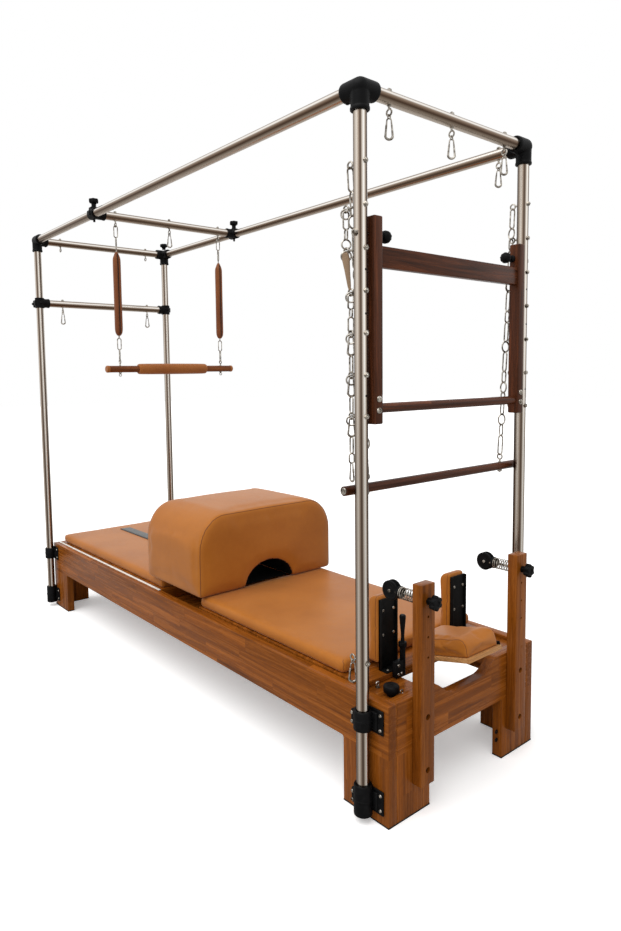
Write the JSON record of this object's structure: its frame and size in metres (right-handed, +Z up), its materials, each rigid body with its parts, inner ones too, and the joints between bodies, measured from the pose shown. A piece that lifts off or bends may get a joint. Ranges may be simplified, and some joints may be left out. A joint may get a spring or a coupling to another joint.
{
  "type": "pilates trapeze table",
  "caption": "Wooden pilates bed with sliding padded carriage under a steel tube tower, with trapeze, push-through bar, roll-down bar, pulleys, arch box and mat.",
  "frame": {"origin": "on the floor, under the middle of the whole table", "axes": "+X along the bed to the head end, +Y to the far long side, +Z up"},
  "size_m": [2.6686, 0.86, 2.118],
  "materials": {
    "black": "moulded",
    "brown": "padded strap and grip",
    "leather": "smooth",
    "oak": "glossy lacquer",
    "ply": "satin",
    "steel": "brushed",
    "walnut": "satin lacquer",
    "webbing": "woven"
  },
  "bodies": {
    "frame": {"side_panel_near": "oak", "side_panel_far": "oak", "head_panel": "oak", "foot_panel": "oak", "head_deck": "oak", "riser_near": "oak", "riser_far": "oak", "top_tube_near": "steel", "upright_head_near": "steel", "corner_elbow_head_near": "black", "rail_clamp_head_near": "black", "foot_socket_head_near": "black", "upright_foot_near": "steel", "corner_elbow_foot_near": "black", "rail_clamp_foot_near": "black", "foot_socket_foot_near": "black", "top_tube_far": "steel", "upright_head_far": "steel", "corner_elbow_head_far": "black", "rail_clamp_head_far": "black", "foot_socket_head_far": "black", "upright_foot_far": "steel", "corner_elbow_foot_far": "black", "rail_clamp_foot_far": "black", "foot_socket_foot_far": "black", "head_cross_tube": "steel", "foot_cross_tube": "steel", "pivot_knob_near": "black", "pivot_knob_far": "black"},
    "pulley_near": {"pulley_near": "black", "pulley_spring_near": "steel"},
    "pulley_far": {"pulley_far": "black", "pulley_spring_far": "steel"},
    "crossbar": {"slide_crossbar": "steel", "crossbar_clamp_near": "black", "crossbar_clamp_far": "black"},
    "trapeze": {"trapeze_bar": "brown", "trapeze_hanger_near": "brown", "trapeze_hanger_far": "brown"},
    "lower_bar": {"lower_crossbar": "steel", "lower_clamp_near": "black", "lower_clamp_far": "black"},
    "push_bar": {"push_arm_near": "walnut", "push_arm_far": "walnut", "push_board": "walnut", "push_bar": "walnut"},
    "roll_down": {"roll_down_bar": "walnut", "roll_down_chain_near": "steel", "roll_down_chain_far": "steel"},
    "carriage": {"carriage_base": "ply", "carriage_pad": "leather", "shoulder_bracket_near": "black", "shoulder_bracket_far": "black", "shoulder_pad_near": "leather", "shoulder_pad_far": "leather"},
    "head_rest": {"headrest_board": "ply", "headrest_cushion": "leather"},
    "mat": {"foot_mat": "leather", "mat_strap": "webbing"},
    "box": {"arch_box": "leather"}
  },
  "joints": [
    {"name": "carriage_slide", "type": "slide", "parent": "frame", "child": "carriage", "axis": [-1, 0, 0], "range_m": [0, 0.29]},
    {"name": "headrest_tilt", "type": "hinge", "parent": "carriage", "child": "head_rest", "pos_m": [1.1157, 0, 0.3677], "axis": [0, -1, 0], "range_deg": [-14, 26]},
    {"name": "mat_lift", "type": "slide", "parent": "frame", "child": "mat", "axis": [0, 0, 1], "range_m": [0, 0.25]},
    {"name": "box_lift", "type": "slide", "parent": "mat", "child": "box", "axis": [0, 0, 1], "range_m": [0, 0.3]},
    {"name": "push_bar_swing", "type": "hinge", "parent": "frame", "child": "push_bar", "pos_m": [1.1897, 0, 1.672], "axis": [0, 1, 0], "range_deg": [-120, 0]},
    {"name": "roll_down_swing", "type": "hinge", "parent": "frame", "child": "roll_down", "pos_m": [1.1517, 0, 1.859], "axis": [0, 1, 0], "range_deg": [0, 45]},
    {"name": "crossbar_slide", "type": "slide", "parent": "frame", "child": "crossbar", "axis": [1, 0, 0], "range_m": [-0.6, 0.6]},
    {"name": "trapeze_swing", "type": "hinge", "parent": "crossbar", "child": "trapeze", "pos_m": [-0.5113, 0, 2.012], "axis": [0, 1, 0], "range_deg": [-45, 45]},
    {"name": "lower_bar_slide", "type": "slide", "parent": "frame", "child": "lower_bar", "axis": [0, 0, 1], "range_m": [-1.2, 0.2]},
    {"name": "pulley_near_swivel", "type": "hinge", "parent": "frame", "child": "pulley_near", "pos_m": [1.1637, -0.24, 0.646], "axis": [1, 0, 0], "range_deg": [-90, 90]},
    {"name": "pulley_far_swivel", "type": "hinge", "parent": "frame", "child": "pulley_far", "pos_m": [1.1637, 0.24, 0.646], "axis": [1, 0, 0], "range_deg": [-90, 90]}
  ]
}
